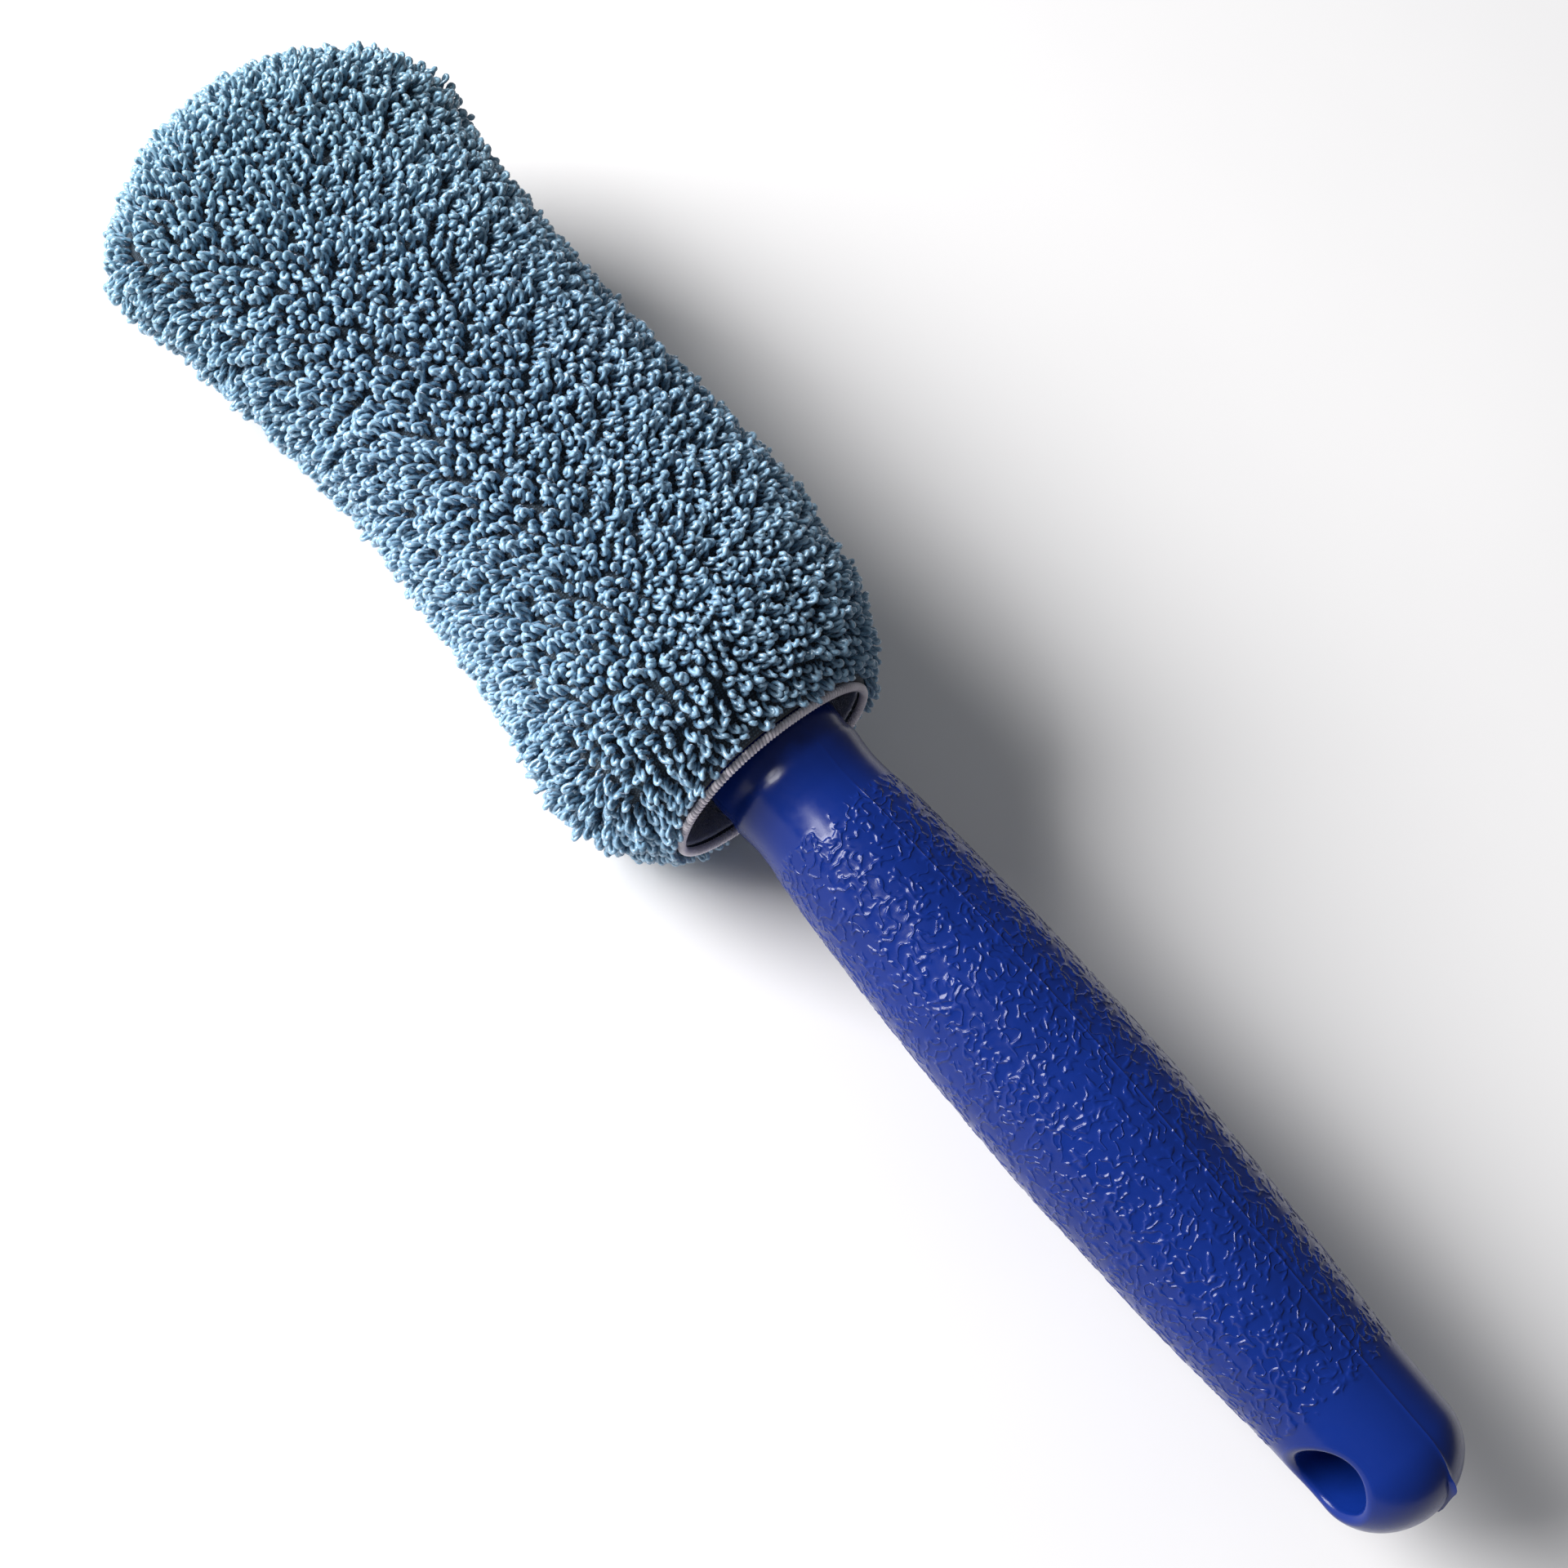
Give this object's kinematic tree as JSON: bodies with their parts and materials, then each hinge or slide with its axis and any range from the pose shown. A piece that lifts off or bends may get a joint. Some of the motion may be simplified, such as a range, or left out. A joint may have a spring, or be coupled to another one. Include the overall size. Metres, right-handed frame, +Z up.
{
  "type": "wheel brush",
  "caption": "Hand wash brush for wheels: a hollow moulded handle with a hanging hole carries a padded head in a pull-off sleeve of twisted microfibre loops.",
  "frame": {"origin": "centre of the overall box's underside, on the surface the head rests on", "axes": "+X along the brush from the head to the tail of the handle, +Y across it along the hanging hole, +Z up"},
  "size_m": [0.3799, 0.092, 0.0663],
  "materials": {
    "blue_plastic": "satin",
    "foam": "matte",
    "dark_knit": "matte",
    "blue_loops": "matte",
    "seam_thread": "matte",
    "pale_elastic": "matte",
    "pale_thread": "matte"
  },
  "bodies": {
    "handle": {"handle_body": "blue_plastic", "foam_pad_upper": "foam", "foam_pad_lower": "foam"},
    "sleeve": {"backing_upper": "dark_knit", "backing_lower": "dark_knit", "pile_upper": "blue_loops", "pile_lower": "blue_loops", "sleeve_seam_thread": "seam_thread", "mouth_elastic_band": "pale_elastic", "mouth_overlock_thread": "pale_thread"}
  },
  "joints": [
    {"name": "sleeve_pull_off", "type": "slide", "parent": "handle", "child": "sleeve", "axis": [-1, 0, 0], "range_m": [0, 0.19], "deforming": ["foam_pad_upper", "foam_pad_lower"]}
  ]
}
